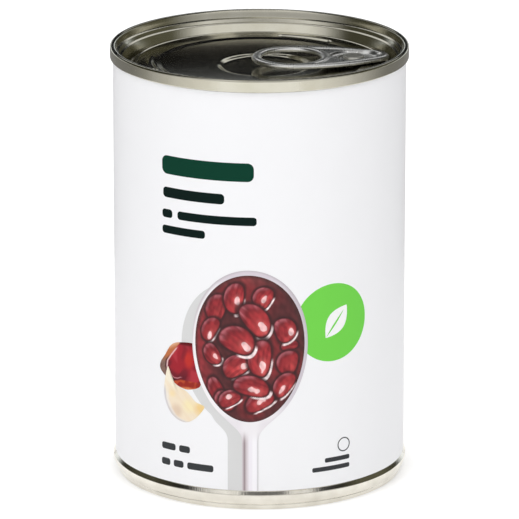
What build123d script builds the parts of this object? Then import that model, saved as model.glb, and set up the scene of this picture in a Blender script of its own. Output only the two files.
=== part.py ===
from build123d import *
import os
from math import cos, degrees, radians, sin

# A food can, sealed and full, standing on its base, in millimetres. It is a
# 300 x 407 can with an easy-open end. +Z runs up from the middle of its base,
# and the label's front faces -Y. An inset is measured inwards from the seam's
# outer radius, and a drop downwards from the seam's top.

# Overall sizes
can_height = 112.7
seam_diameter = 76.2

# Seam, and the steel wall under the label
seam_height = 3.2
seam_thickness = 1.25
seam_round = 0.55
seam_hem_round = 0.35
body_inset = 0.95

# Drawn base: a foot ring, a crease and a bulge outside, steps underneath
foot_inset = 1.5
foot_width = 1.7
foot_round = 0.35
crease_height = 1.4
crease_depth = 0.16
crease_half_width = 0.2
bulge_inset = 0.15
bulge_bottom = 3.1
bulge_top = 4.1
bulge_round = 0.5
base_recess = 2.6
base_step = 0.6
base_step_insets = (19.5, 10.5)
base_slope = 1.0
base_round = 0.4

# End: chuck wall, countersink, annulus and dished panel
countersink_drop = 6.3
countersink_inset = 4.2
countersink_width = 1.0
countersink_round = 0.3
annulus_drop = 4.7
annulus_inset = 5.7
annulus_round = 0.4
panel_dish = 0.3
panel_inset = 11.8
panel_slope = 1.3
panel_round = 1.0
end_depth = 7.6
plug_inset = 1.75
plug_fit = 0.1
score_inset = 6.6
score_half_width = 0.25
score_depth = 0.12

# Raised arcs on the annulus, and the finger well
bead_count = 3
bead_inset = 10.2
bead_width = 1.8
bead_height = 0.45
bead_span = 28.0
well_radius = 12.2
well_depth = 1.1
well_slope = 1.6
well_round = 0.8
well_lead = 3.4

# Ring pull
tab_turn = 4.2
tab_length = 35.2
tab_thickness = 1.5
tab_gap = 0.1
tab_curl = 0.62
nose_inset = 4.9
nose_radius = 4.6
ring_radius = 10.5
ring_rail = 2.5
hole_length = 15.2
rivet_behind_nose = 9.1
pocket_back_radius = 5.7
pocket_back_reach = 1.1
pocket_front_radius = 4.1
pocket_front_reach = 2.9
pocket_draft = 34.0
island_thickness = 0.5
lance_radius = 3.65
lance_width = 0.5
lance_span = 220.0

# Rivet, drawn up out of the end
rivet_radius = 1.6
rivet_fit = 0.12
rivet_boss_radius = 3.1
rivet_head_radius = 2.7
rivet_head_height = 0.65
rivet_head_round = 0.4

# Paper label, its end lapped over its start at the back
label_bottom = 5.2
label_margin = 0.15
label_fit = 0.03
paper = 0.2
lap_middle = 97.0
lap_width = 7.0
lap_ramp = 0.8

# Places that follow from the sizes
seam_radius = seam_diameter / 2
body_radius = seam_radius - body_inset
foot_radius = seam_radius - foot_inset
bulge_radius = seam_radius - bulge_inset
plug_radius = seam_radius - plug_inset
seam_bottom = can_height - seam_height
seat_z = can_height - end_depth
annulus_z = can_height - annulus_drop
panel_z = annulus_z - panel_dish
tab_z = annulus_z + tab_gap
island_z = tab_z + island_thickness
nose_tip = seam_radius - nose_inset
ring_end = nose_tip - tab_length
rivet_place = nose_tip - rivet_behind_nose


def polar(radius, angle):
    """The point at a radius and an angle in degrees about the can's axis."""
    return (radius * cos(radians(angle)), radius * sin(radians(angle)))


def along_tab(length, z):
    """A level plane at height z, that far out along the ring pull."""
    return Plane((*polar(length, tab_turn), z), x_dir=(*polar(1, tab_turn), 0))


def upright(place):
    """An upright plane through a place, with its x outwards along +X."""
    return Plane(place, x_dir=(1, 0, 0), z_dir=(0, -1, 0))


def outline(corners):
    """A closed line through corners, each an (across, up, rounding)."""
    roundings = [rounding for across, up, rounding in corners]
    FilletPolyline(*[(across, up) for across, up, rounding in corners], radius=roundings, close=True)


# Can: the drawn steel body and what fills it, one solid. Its rim stands up
# inside the seam, and its top is the round seat of the end.
base_corners = [(0, base_recess, 0)]
for index, inset in enumerate(base_step_insets):
    step_radius = seam_radius - inset
    inner_level = base_recess + base_step * (index % 2)
    outer_level = base_recess + base_step * ((index + 1) % 2)
    base_corners.append((step_radius - base_slope, inner_level, base_round))
    base_corners.append((step_radius, outer_level, base_round))
foot_inner = foot_radius - foot_width
wall_corners = [
    (foot_inner - base_slope, base_recess, base_round),
    (foot_inner, 0, foot_round),
    (foot_radius, 0, foot_round),
    (body_radius - crease_half_width / 2, crease_height - crease_half_width, 0),
    (body_radius - crease_depth, crease_height, 0),
    (body_radius + crease_half_width / 2, crease_height + crease_half_width, 0),
    (bulge_radius, bulge_bottom, bulge_round),
    (bulge_radius, bulge_top, bulge_round),
    (body_radius, label_bottom - label_margin, bulge_round),
    (body_radius, seam_bottom, 0),
    (plug_radius + plug_fit, seam_bottom, 0),
    (plug_radius + plug_fit, seat_z, 0),
    (0, seat_z, 0),
]
with BuildPart() as can_body:
    with BuildSketch(Plane.XZ):
        with BuildLine():
            outline(base_corners + wall_corners)
        make_face()
    revolve(axis=Axis.Z)

# End, from its panel out over the chuck wall and the seam. The two ledges of
# the chuck wall are given as (inset, drop, rounding).
chuck_ledges = [
    (3.1, 3.25, 0.25),
    (2.5, 3.0, 0.25),
    (2.15, 2.2, 0.2),
    (1.6, 1.95, 0.2),
]
ledge_corners = [
    (seam_radius - inset, can_height - drop, rounding) for inset, drop, rounding in chuck_ledges
]
countersink_z = can_height - countersink_drop
countersink_radius = seam_radius - countersink_inset
annulus_radius = seam_radius - annulus_inset
dish_radius = seam_radius - panel_inset
end_corners = [
    (0, panel_z, 0),
    (dish_radius - panel_slope, panel_z, panel_round),
    (dish_radius, annulus_z, panel_round),
    (annulus_radius, annulus_z, annulus_round),
    (countersink_radius - countersink_width, countersink_z, countersink_round),
    (countersink_radius, countersink_z, countersink_round),
    *ledge_corners,
    (seam_radius - seam_thickness, can_height, seam_round),
    (seam_radius, can_height, seam_round),
    (seam_radius, seam_bottom, seam_hem_round),
    (plug_radius, seam_bottom, 0),
    (plug_radius, seat_z, 0),
    (0, seat_z, 0),
]
score_radius = seam_radius - score_inset
bead_radius = seam_radius - bead_inset
bead_arc_radius = bead_width**2 / (8 * bead_height) + bead_height / 2
bead_drop = bead_arc_radius - bead_height
below = (3 * seam_radius, 3 * bead_arc_radius)
well_place = along_tab(ring_end + well_lead, panel_z).origin
with BuildPart() as lid:
    with BuildSketch(Plane.XZ):
        with BuildLine():
            outline(end_corners)
        make_face()
    revolve(axis=Axis.Z)
    # Score line, a V groove
    with BuildSketch(upright((score_radius, 0, annulus_z))):
        with BuildLine():
            Polyline((-score_half_width, 0), (score_half_width, 0), (0, -score_depth), close=True)
        make_face()
    revolve(axis=Axis.Z, mode=Mode.SUBTRACT)
    # Finger well, flat with a rounded wall
    with BuildSketch(upright(well_place)):
        with BuildLine():
            outline(
                [
                    (0, 0, 0),
                    (well_radius, 0, 0),
                    (well_radius - well_slope, -well_depth, well_round),
                    (0, -well_depth, 0),
                ]
            )
        make_face()
    revolve(axis=Axis(well_place, (0, 0, 1)), mode=Mode.SUBTRACT)
    fillet(lid.edges(Select.LAST).group_by(Axis.Z)[-1], well_round)
    # Raised arcs, each a segment of a circle carried round the panel
    for index in range(bead_count):
        start = tab_turn + 180 + 360 * index / bead_count - bead_span / 2
        across = Plane((0, 0, annulus_z), x_dir=(*polar(1, start), 0), z_dir=(*polar(1, start - 90), 0))
        with BuildSketch(across):
            with Locations((bead_radius, -bead_drop)):
                Circle(bead_arc_radius)
            Rectangle(*below, align=(Align.CENTER, Align.MAX), mode=Mode.SUBTRACT)
        revolve(axis=Axis.Z, revolution_arc=bead_span)
        for end in (start, start + bead_span):
            place = (*polar(bead_radius, end), annulus_z)
            with BuildSketch(upright(place)):
                with Locations((0, -bead_drop)):
                    Circle(bead_arc_radius)
                Rectangle(*below, align=(Align.MAX, Align.CENTER), mode=Mode.SUBTRACT)
                Rectangle(*below, align=(Align.CENTER, Align.MAX), mode=Mode.SUBTRACT)
            revolve(axis=Axis(place, (0, 0, 1)))
    # Rivet: a boss under the ring pull, a stem through it and a head over it
    for radius, bottom, top in (
        (rivet_boss_radius, panel_z, tab_z),
        (rivet_radius, tab_z, island_z),
        (rivet_head_radius, island_z, island_z + rivet_head_height),
    ):
        with BuildSketch(along_tab(rivet_place, bottom)):
            Circle(radius)
        extrude(amount=top - bottom)
    fillet(lid.edges(Select.LAST).group_by(Axis.Z)[-1], rivet_head_round)

# Ring pull: a flat plate with curled edges, a finger hole, and a pocket down to
# the island that the rivet holds. Each side is an arc that touches the round of
# the ring and the round of the nose.
ring_centre = ring_end + ring_radius
nose_centre = nose_tip - nose_radius
round_span = nose_centre - ring_centre
side_radius = (round_span**2 + ring_radius**2 - nose_radius**2) / (2 * (ring_radius - nose_radius))
join_share = nose_radius / (side_radius - nose_radius)
side_start = (ring_centre, ring_radius)
side_end = (nose_centre + round_span * join_share, (side_radius - ring_radius) * join_share)
ring_corner = ring_radius * (1 - sin(radians(45)))
hole_centre = ring_end + ring_rail + hole_length / 2
curl = min(tab_curl, 0.45 * tab_thickness)
lance_arc = CenterArc((0, 0), lance_radius, 180 - lance_span / 2, lance_span)
with BuildPart() as tab:
    with BuildSketch(along_tab(0, tab_z)):
        with BuildLine():
            ThreePointArc((ring_end, 0), (ring_end + ring_corner, ring_radius - ring_corner), side_start)
            RadiusArc(side_start, side_end, side_radius)
            TangentArc(side_end, (nose_tip, 0), tangent=(side_end[1], nose_centre - side_end[0]))
            mirror(about=Plane.XZ)
        make_face()
        with Locations((hole_centre, 0)):
            Ellipse(hole_length / 2, ring_radius - ring_rail, mode=Mode.SUBTRACT)
    extrude(amount=tab_thickness)
    fillet(tab.faces().filter_by(Axis.Z).edges(), curl)
    with BuildSketch(along_tab(rivet_place, tab_z + tab_thickness)):
        with Locations((-pocket_back_reach, 0)):
            Circle(pocket_back_radius)
        with Locations((pocket_front_reach, 0)):
            Circle(pocket_front_radius)
        make_hull()
    extrude(amount=island_thickness - tab_thickness, taper=pocket_draft, mode=Mode.SUBTRACT)
    # Rivet hole, and a lance round it that is open towards the nose
    with BuildSketch(along_tab(rivet_place, tab_z)):
        Circle(rivet_radius + rivet_fit)
        SlotArc(lance_arc, lance_width)
    extrude(amount=island_thickness, mode=Mode.SUBTRACT)

# Label: a paper tube, with a second thickness where its end laps over its start
label_inner = body_radius + label_fit
label_outer = label_inner + paper
lap_angle = degrees(lap_width / label_outer)
lap_start = lap_middle - lap_angle / 2
lap_sink = label_outer - paper / 2
with BuildPart() as label:
    with BuildSketch(Plane.XY.offset(label_bottom)):
        Circle(label_outer)
        with BuildLine():
            over = CenterArc((0, 0), label_outer + paper, lap_start, lap_angle)
            under = CenterArc((0, 0), lap_sink, lap_start, lap_angle + degrees(lap_ramp / label_outer))
            Line(over @ 0, under @ 0)
            Line(over @ 1, under @ 1)
        make_face()
        Circle(label_inner, mode=Mode.SUBTRACT)
    extrude(amount=seam_bottom - label_margin - label_bottom)

os.makedirs("parts", exist_ok=True)
for name, piece in (("can_body", can_body), ("lid", lid), ("tab", tab), ("label", label)):
    piece.part.label = name
    export_step(piece.part, f"parts/{name}.step")
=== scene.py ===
from math import pi, radians

import bpy
import numpy as np
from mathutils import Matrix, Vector


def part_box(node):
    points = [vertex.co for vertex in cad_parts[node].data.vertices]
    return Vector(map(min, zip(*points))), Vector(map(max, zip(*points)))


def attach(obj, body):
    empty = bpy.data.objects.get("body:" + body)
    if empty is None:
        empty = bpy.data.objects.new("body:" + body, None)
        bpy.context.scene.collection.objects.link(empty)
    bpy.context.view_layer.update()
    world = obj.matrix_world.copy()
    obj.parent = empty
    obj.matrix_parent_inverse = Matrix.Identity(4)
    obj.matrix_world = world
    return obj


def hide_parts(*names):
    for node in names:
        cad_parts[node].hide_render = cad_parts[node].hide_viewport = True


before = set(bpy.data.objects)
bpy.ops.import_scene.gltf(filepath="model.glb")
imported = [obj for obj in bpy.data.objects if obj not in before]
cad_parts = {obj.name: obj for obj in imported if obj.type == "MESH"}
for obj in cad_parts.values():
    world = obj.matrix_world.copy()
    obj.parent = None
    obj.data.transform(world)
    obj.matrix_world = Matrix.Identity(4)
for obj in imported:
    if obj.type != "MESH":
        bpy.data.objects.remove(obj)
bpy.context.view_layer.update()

bl_info = {
    "name": "Canned beans",
    "version": (1, 0, 0),
    "blender": (4, 5, 0),
    "location": "View3D > Sidebar > Can",
    "description": "Builds a ring-pull food can with a printed paper label, and a small studio",
    "category": "Object",
}

MM = 0.001
LID_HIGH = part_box("lid")[1] / MM
LABEL_LOW, LABEL_HIGH = (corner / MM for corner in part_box("label"))
TAB_LOW, TAB_HIGH = (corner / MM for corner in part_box("tab"))


# ---------------------------------------------------------------- surfaces


def smooth(share):
    """0 below 0, 1 above 1, and a smooth rise between, 3t^2 - 2t^3."""
    share = np.clip(share, 0, 1)
    return share * share * (3 - 2 * share)


def ease(value, low, high):
    """A smooth rise from 0 at low to 1 at high."""
    return smooth((np.asarray(value, float) - low) / (high - low))


def spun(x, y, turn):
    """Places x, y turned anticlockwise about the origin."""
    return x * np.cos(turn) - y * np.sin(turn), x * np.sin(turn) + y * np.cos(turn)


def about_axis(across, turn, up):
    """Places that far out from the can's axis and up: x = across * cos(turn),
    y = across * sin(turn), z = up."""
    return np.stack(
        [across * np.cos(turn), across * np.sin(turn), up + 0 * turn + 0 * across], axis=-1
    )


def rounded(corners, arc_steps):
    """A line through corners (across, up, rounding): straight runs joined by arcs
    of the rounding's radius that touch the run before and the run after."""
    points = [np.array(corners[0][:2], float)[None]]
    for before, here, after in zip(corners, corners[1:], corners[2:]):
        place = np.array(here[:2], float)
        back = np.array(before[:2], float) - place
        ahead = np.array(after[:2], float) - place
        back /= np.linalg.norm(back)
        ahead /= np.linalg.norm(ahead)
        half_turn = np.arccos(np.clip(back @ ahead, -1, 1)) / 2
        if here[2] == 0:
            points.append(place[None])
            continue
        middle = (back + ahead) / np.linalg.norm(back + ahead)
        centre = place + middle * here[2] / np.sin(half_turn)
        reach = here[2] / np.tan(half_turn)
        start, end = place + back * reach - centre, place + ahead * reach - centre
        sweep = np.arctan2(start[0] * end[1] - start[1] * end[0], start @ end)
        turn = np.linspace(0, sweep, arc_steps + 1)
        points.append(centre + np.stack(spun(*start, turn), axis=1))
    points.append(np.array(corners[-1][:2], float)[None])
    return np.concatenate(points)


def refined(line, spacing):
    """The same line with each run longer than the spacing cut into equal parts."""
    runs = np.linalg.norm(np.diff(line, axis=0), axis=1)
    parts = np.maximum(1, np.ceil(runs / spacing)).astype(int)
    share = np.concatenate([np.arange(n) / n for n in parts] + [np.ones(1)])
    run = np.concatenate([np.repeat(np.arange(len(parts)), parts), [len(parts) - 1]])
    return line[run] + (line[run + 1] - line[run]) * share[:, None]


def turned(line, steps):
    """A line (across, up) turned about the can's axis. Rows are turns, and columns
    follow the line."""
    turn = np.linspace(0, 2 * pi, steps, endpoint=False)[:, None]
    return about_axis(line[None, :, 0], turn, line[None, :, 1])


def skin(points, colour=None):
    """One patch of a mesh from a grid of points in mm. The last row is joined to the
    first, a column that is all one point becomes a single corner, and a last column
    in the place of the first is joined to it."""
    rows, columns = points.shape[:2]
    index = np.arange(rows * columns).reshape(rows, columns)
    for column in (0, columns - 1):
        if np.ptp(points[:, column], axis=0).max() < 1e-7:
            index[:, column] = index[0, column]
    if np.allclose(points[:, 0], points[:, -1]):
        index[:, -1] = index[:, 0]
    shares = np.linspace(0, 1, rows + 1), np.linspace(0, 1, columns)
    uv = np.stack(np.meshgrid(*shares, indexing="ij"), axis=2)
    index = np.vstack([index, index[:1]])
    corners = [(slice(None, -1), slice(None, -1)), (slice(1, None), slice(None, -1))]
    corners += [(slice(1, None), slice(1, None)), (slice(None, -1), slice(1, None))]
    quads = np.stack([index[c] for c in corners], axis=-1).reshape(-1, 4)
    quad_uv = np.stack([uv[c] for c in corners], axis=-2).reshape(-1, 4, 2)
    kept = quads != np.roll(quads, 1, axis=1)
    used, loops = np.unique(quads[kept], return_inverse=True)
    verts = points.reshape(-1, 3)[used]
    tone = None if colour is None else colour.reshape(-1, 4)[used]
    return {
        "verts": verts,
        "loops": loops.ravel(),
        "sizes": kept.sum(axis=1),
        "uv": quad_uv[kept],
        "colour": tone,
    }


def outward(patch):
    """The patch with its faces turned round if its enclosed volume is negative."""
    starts = np.concatenate([[0], np.cumsum(patch["sizes"])[:-1]])
    corner = patch["verts"][patch["loops"]]
    last = starts + patch["sizes"] - 1
    volume = 0.0
    for fan in (1, 2):
        second = np.minimum(starts + fan, last)
        third = np.minimum(starts + fan + 1, last)
        cross = np.cross(corner[second], corner[third])
        volume += np.einsum("ij,ij->", corner[starts], cross)
    if volume > 0:
        return patch
    order = np.repeat(starts + last, patch["sizes"]) - np.arange(len(patch["loops"]))
    return {**patch, "loops": patch["loops"][order], "uv": patch["uv"][order]}


def painted(mesh, name, colours):
    """Gives a mesh a colour attribute, one colour a corner."""
    layer = mesh.color_attributes.new(name=name, type="FLOAT_COLOR", domain="POINT")
    layer.data.foreach_set("color", colours.ravel())


def placed(name, data):
    """A new object in the scene, at the origin."""
    made = bpy.data.objects.new(name, data)
    bpy.context.scene.collection.objects.link(made)
    return made


def piece(name, patches, material, sharp=40.0, replaces=()):
    """A mesh object from closed patches, riding the can, with its faces outwards
    and its edges sharp from an angle in degrees."""
    patches = [outward(patch) for patch in patches]
    offsets = np.cumsum([0] + [len(patch["verts"]) for patch in patches])
    verts = np.concatenate([patch["verts"] for patch in patches]) * MM
    loops = np.concatenate([p["loops"] + o for p, o in zip(patches, offsets)])
    sizes = np.concatenate([patch["sizes"] for patch in patches])
    mesh = bpy.data.meshes.new(name)
    mesh.vertices.add(len(verts))
    mesh.vertices.foreach_set("co", verts.ravel())
    mesh.loops.add(len(loops))
    mesh.loops.foreach_set("vertex_index", loops.astype(np.int32))
    mesh.polygons.add(len(sizes))
    starts = np.concatenate([[0], np.cumsum(sizes)[:-1]])
    mesh.polygons.foreach_set("loop_start", starts.astype(np.int32))
    mesh.update(calc_edges=True)
    layer = mesh.uv_layers.new(name="surface")
    layer.data.foreach_set("uv", np.concatenate([p["uv"] for p in patches]).ravel())
    if patches[0]["colour"] is not None:
        painted(mesh, "ink", np.concatenate([patch["colour"] for patch in patches]))
    if mesh.validate():
        raise RuntimeError(f"{name} came out with faulty faces")
    mesh.shade_smooth()
    mesh.set_sharp_from_angle(angle=radians(sharp))
    mesh.materials.append(material)
    thing = placed(name, mesh)
    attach(thing, "root")
    if replaces:
        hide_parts(*replaces)


# --------------------------------------------------------------- materials

GRAIN_RELIEF = 0.04 * MM
FIBRE_RELIEF = 0.02 * MM
FIBRE_STRENGTH = 0.15


def linear(colour):
    """A display colour from 0 to 255 as a linear one with full alpha."""
    share = np.asarray(colour, float) / 255
    low, high = share / 12.92, ((share + 0.055) / 1.055) ** 2.4
    flat = np.where(share <= 0.04045, low, high)
    return np.concatenate([flat, np.ones(flat.shape[:-1] + (1,))], axis=-1)


def node(tree, kind, inputs=None, **settings):
    """A node with its settings, and its inputs given as numbers or linked sockets."""
    made = tree.nodes.new(kind)
    for key, value in settings.items():
        setattr(made, key, value)
    for key, value in (inputs or {}).items():
        socket = made.inputs[key]
        if isinstance(value, bpy.types.NodeSocket):
            tree.links.new(value, socket)
        else:
            socket.default_value = value
    return made


def noise(tree, vector, scale, detail):
    """Noise from 0 to 1 at a vector."""
    inputs = {"Vector": vector, "Scale": scale, "Detail": detail}
    return node(tree, "ShaderNodeTexNoise", inputs).outputs[0]


def stretched(tree, vector, scale, turn=0.0):
    """The vector turned about the can's axis and scaled axis by axis."""
    inputs = {"Vector": vector, "Rotation": (0, 0, turn), "Scale": scale}
    return node(tree, "ShaderNodeMapping", inputs).outputs[0]


def ramp(tree, value, low, high, start=0.0, end=1.0):
    """A number that goes evenly from start to end as the value goes from low to high."""
    inputs = {"Value": value, "From Min": low, "From Max": high, "To Min": start, "To Max": end}
    return node(tree, "ShaderNodeMapRange", inputs).outputs[0]


def maths(tree, operation, *values, **settings):
    """The result of one sum on numbers or linked sockets."""
    inputs = dict(enumerate(values))
    return node(tree, "ShaderNodeMath", inputs, operation=operation, **settings).outputs[0]


def blank_material(name):
    """A material with only a Principled shader and its output."""
    material = bpy.data.materials.new(name)
    material.use_nodes = True
    tree = material.node_tree
    return material, tree, tree.nodes["Principled BSDF"]


def effect(name, inputs):
    """An empty shader node group with named inputs (name, kind, default) that puts
    out a colour, a roughness and a height, and the sockets at its two ends."""
    group = bpy.data.node_groups.new(name, "ShaderNodeTree")
    for label, kind, default in inputs:
        socket = group.interface.new_socket(
            label, in_out="INPUT", socket_type=f"NodeSocket{kind}"
        )
        if default is not None:
            socket.default_value = default
    for label, kind in (("Color", "Color"), ("Roughness", "Float"), ("Height", "Float")):
        group.interface.new_socket(label, in_out="OUTPUT", socket_type=f"NodeSocket{kind}")
    start = group.nodes.new("NodeGroupInput")
    end = group.nodes.new("NodeGroupOutput")
    return group, start.outputs, end.inputs


def steel_effect(name):
    """Rolled sheet steel: long grain, faint clouding and a few short scratches, as
    a colour, a roughness and a height."""
    group, start, end = effect(
        name,
        (
            ("Vector", "Vector", None),
            ("Base", "Color", (0.6, 0.6, 0.6, 1)),
            ("Stain", "Color", (0.4, 0.38, 0.3, 1)),
            ("Stain Share", "Float", 0.2),
            ("Low Roughness", "Float", 0.12),
            ("High Roughness", "Float", 0.24),
        ),
    )
    vector = start["Vector"]
    grain = noise(group, stretched(group, vector, (3300, 150, 300)), 1, 3)
    scratches = noise(group, stretched(group, vector, (60, 2400, 900), 0.7), 1, 2)
    scratched = ramp(group, scratches, 0.64, 0.72)
    clouds = ramp(group, noise(group, vector, 160, 4), 0.4, 0.7)
    stain = maths(group, "MULTIPLY", clouds, start["Stain Share"])
    # The Mix node's sockets 6 and 7 are its two colours, and output 2 is their mix
    tone = node(
        group, "ShaderNodeMix", {0: stain, 6: start["Base"], 7: start["Stain"]}, data_type="RGBA"
    )
    height = maths(group, "MULTIPLY_ADD", scratched, 0.25, grain)
    rough = ramp(group, height, 0.1, 0.9, start["Low Roughness"], start["High Roughness"])
    group.links.new(tone.outputs[2], end["Color"])
    group.links.new(rough, end["Roughness"])
    group.links.new(height, end["Height"])
    return group


def print_effect(name):
    """Ink on coated paper: a fine fibre in the height and roughness, and a slight
    unevenness in the ink."""
    group, start, end = effect(
        name,
        (
            ("Vector", "Vector", None),
            ("Ink", "Color", (0.9, 0.9, 0.9, 1)),
            ("Unevenness", "Float", 0.03),
            ("Low Roughness", "Float", 0.4),
            ("High Roughness", "Float", 0.5),
        ),
    )
    fibre = noise(group, start["Vector"], 1800, 3)
    broad = noise(group, start["Vector"], 90, 3)
    less = maths(group, "MULTIPLY", broad, start["Unevenness"])
    value = maths(group, "SUBTRACT", 1.0, less)
    tone = node(group, "ShaderNodeHueSaturation", {"Color": start["Ink"], "Value": value})
    rough = ramp(group, fibre, 0.3, 0.7, start["Low Roughness"], start["High Roughness"])
    group.links.new(tone.outputs[0], end["Color"])
    group.links.new(rough, end["Roughness"])
    group.links.new(fibre, end["Height"])
    return group


def shared(name, build):
    """The node group of that name, built the first time that it is asked for."""
    return bpy.data.node_groups.get(name) or build(name)


def finished(name, group, inputs, strength, distance):
    """A material whose colour, roughness and relief come from an effect on Object
    coordinates, with its tree, its shader and the placed effect."""
    material, tree, shader = blank_material(name)
    place = node(tree, "ShaderNodeTexCoord").outputs["Object"]
    surface = node(tree, "ShaderNodeGroup", {"Vector": place, **inputs}, node_tree=group)
    relief = node(
        tree,
        "ShaderNodeBump",
        {"Height": surface.outputs["Height"], "Strength": strength, "Distance": distance},
    )
    tree.links.new(surface.outputs["Color"], shader.inputs["Base Color"])
    tree.links.new(surface.outputs["Roughness"], shader.inputs["Roughness"])
    tree.links.new(relief.outputs[0], shader.inputs["Normal"])
    return material, tree, shader, surface


def steel_material(name, base, stain, stain_share, low, high, bump, metallic=1.0):
    """Bright sheet steel with its own tone and stain (display colours), roughness
    from low to high and relief."""
    inputs = {
        "Base": tuple(linear(base)),
        "Stain": tuple(linear(stain)),
        "Stain Share": stain_share,
        "Low Roughness": low,
        "High Roughness": high,
    }
    group = shared("Sheet steel", steel_effect)
    material, _, shader, _ = finished(name, group, inputs, bump, GRAIN_RELIEF)
    shader.inputs["Metallic"].default_value = metallic
    return material


def ink_material(name, colour=None, unevenness=0.03, low=0.36, high=0.46, gloss=0.12):
    """Ink on the label. Without a colour it takes the piece's own ink attribute."""
    inputs = {"Unevenness": unevenness, "Low Roughness": low, "High Roughness": high}
    if colour is not None:
        inputs["Ink"] = tuple(linear(colour))
    group = shared("Printed paper", print_effect)
    material, tree, shader, surface = finished(
        name, group, inputs, FIBRE_STRENGTH, FIBRE_RELIEF
    )
    if colour is None:
        own = node(tree, "ShaderNodeAttribute", attribute_name="ink")
        tree.links.new(own.outputs["Color"], surface.inputs["Ink"])
    shader.inputs["Specular IOR Level"].default_value = gloss
    return material


# ------------------------------------------------------------------ sizes


class CanSizes(bpy.types.PropertyGroup):
    """Sizes of the steel can and its end, in millimetres."""

    height: bpy.props.FloatProperty(
        name="Height", description="Height of the can in mm", default=LID_HIGH.z, min=10
    )
    seam_radius: bpy.props.FloatProperty(
        name="Seam radius", description="Outer radius of the seam in mm", default=LID_HIGH.x, min=5
    )
    seam_height: bpy.props.FloatProperty(
        name="Seam height", description="Height of the double seam in mm", default=3.2, min=1
    )
    bead_height: bpy.props.FloatProperty(
        name="Bead height", description="Height of the end's raised arcs in mm", default=0.45, min=0
    )
    dish_depth: bpy.props.FloatProperty(
        name="Dish depth", description="Depth of the panel's even dish in mm", default=0.55, min=0
    )


class PrintColours(bpy.types.PropertyGroup):
    """Main inks of the label."""

    deep_green: bpy.props.FloatVectorProperty(
        name="Deep green",
        description="Display colour of the title bar",
        subtype="COLOR_GAMMA",
        size=3,
        min=0,
        max=1,
        default=(0.05, 0.24, 0.18),
    )
    bright_green: bpy.props.FloatVectorProperty(
        name="Bright green",
        description="Display colour of the disc",
        subtype="COLOR_GAMMA",
        size=3,
        min=0,
        max=1,
        default=(0.455, 0.835, 0.31),
    )


class StudioLight(bpy.types.PropertyGroup):
    """Light of the small studio round the can."""

    lamp_power: bpy.props.FloatProperty(
        name="Lamp power", description="Multiplier on every lamp", default=0.5, min=0
    )
    room_light: bpy.props.FloatProperty(
        name="Room light", description="Even light from all round", default=0.77, min=0
    )
    floor_lift: bpy.props.FloatProperty(
        name="Floor lift", description="White added to the floor as it is seen", default=0.3, min=0
    )


# ------------------------------------------------------------- steel pieces

# Levels in mm below the seam's top, for the end and for the can under it
PANEL_DROP = 5.0
ANNULUS_DROP = 4.7
COUNTERSINK_DROP = 6.3
SEAT_DROP = 7.6

# Raised arcs on the annulus: how far in from the seam they run, half their length
# and width, and the power that rounds them
ARC_COUNT = 3
ARC_INSET = 10.2
ARC_HALF_TURN = radians(14)
ARC_HALF_WIDTH = 1.0
ARC_ROUNDING = 1.2

# How far in from the seam the dish and the pressed part of the end start
DISH_INSET = 13
PRESSED_INSET = 6

# Finger well: its centre along the ring pull, its outer radius, slope and depth
WELL_PLACE = 1.4
WELL_RADIUS = 12.2
WELL_SLOPE = 1.6
WELL_DEPTH = 1.1

# Ring pull: the radii of its ring and nose, its rails, finger hole and places
TAB_TURN = radians(4.2)
PULL_TIP = LID_HIGH.x - 4.9
PULL_END = PULL_TIP - 35.2
RIVET_PLACE = PULL_TIP - 9.1
RING = 10.5
NOSE = 4.6
RAIL = 1.25
HOLE_HALF_LENGTH = 7.6

# Pocket in the ring pull: it starts behind the rivet, and runs and narrows
# towards the nose, round a level island inside a groove
POCKET_BEHIND = 1.1
POCKET_RUN = 4.0
POCKET_RADIUS = 5.7
POCKET_NARROWING = 1.6
ISLAND_DROP = 4.1
GROOVE_RADIUS = 3.65
GROOVE_SLOPE = 0.25
GROOVE_HALF_TURN = radians(110)


def can_line(sizes):
    """Outline of the drawn can, (across, up, rounding), from the middle of its base
    round the foot ring, crease and bulge, up the wall and in over its top."""
    seam, seat = sizes.seam_radius, sizes.height - SEAT_DROP
    under_seam = sizes.height - sizes.seam_height
    foot, wall, bulge, neck = seam - 1.5, seam - 0.95, seam - 0.15, seam - 1.65
    base, step = 2.6, 3.2
    return [
        (0, base, 0),
        (seam - 28.0, base, 0),
        (seam - 20.5, base, 0.4),
        (seam - 19.5, step, 0.4),
        (seam - 11.5, step, 0.4),
        (seam - 10.5, base, 0.4),
        (foot - 2.7, base, 0.4),
        (foot - 1.7, 0, 0.35),
        (foot, 0, 0.35),
        (wall - 0.1, 1.2, 0.12),
        (wall - 0.16, 1.4, 0.1),
        (wall + 0.1, 1.6, 0.12),
        (bulge, 3.1, 0.5),
        (bulge, 4.1, 0.45),
        (wall, 5.05, 0.5),
        (wall, 60, 0),
        (wall, under_seam, 0),
        (neck, under_seam, 0),
        (neck, seat, 0),
        (0, seat, 0),
    ]


class CAN_OT_body(bpy.types.Operator):
    """Builds the drawn steel can"""

    bl_idname = "can.body"
    bl_label = "Can body"

    def execute(self, context):
        sizes = context.scene.can_sizes
        steel = steel_material(
            "bright tinplate",
            (229, 225, 215),
            stain=(190, 184, 170),
            stain_share=0.45,
            low=0.08,
            high=0.16,
            bump=0.35,
        )
        line = refined(rounded(can_line(sizes), 8), 4.0)
        piece("can_shell", [skin(turned(line, 256))], steel, replaces=["can_body"])
        return {"FINISHED"}


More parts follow.
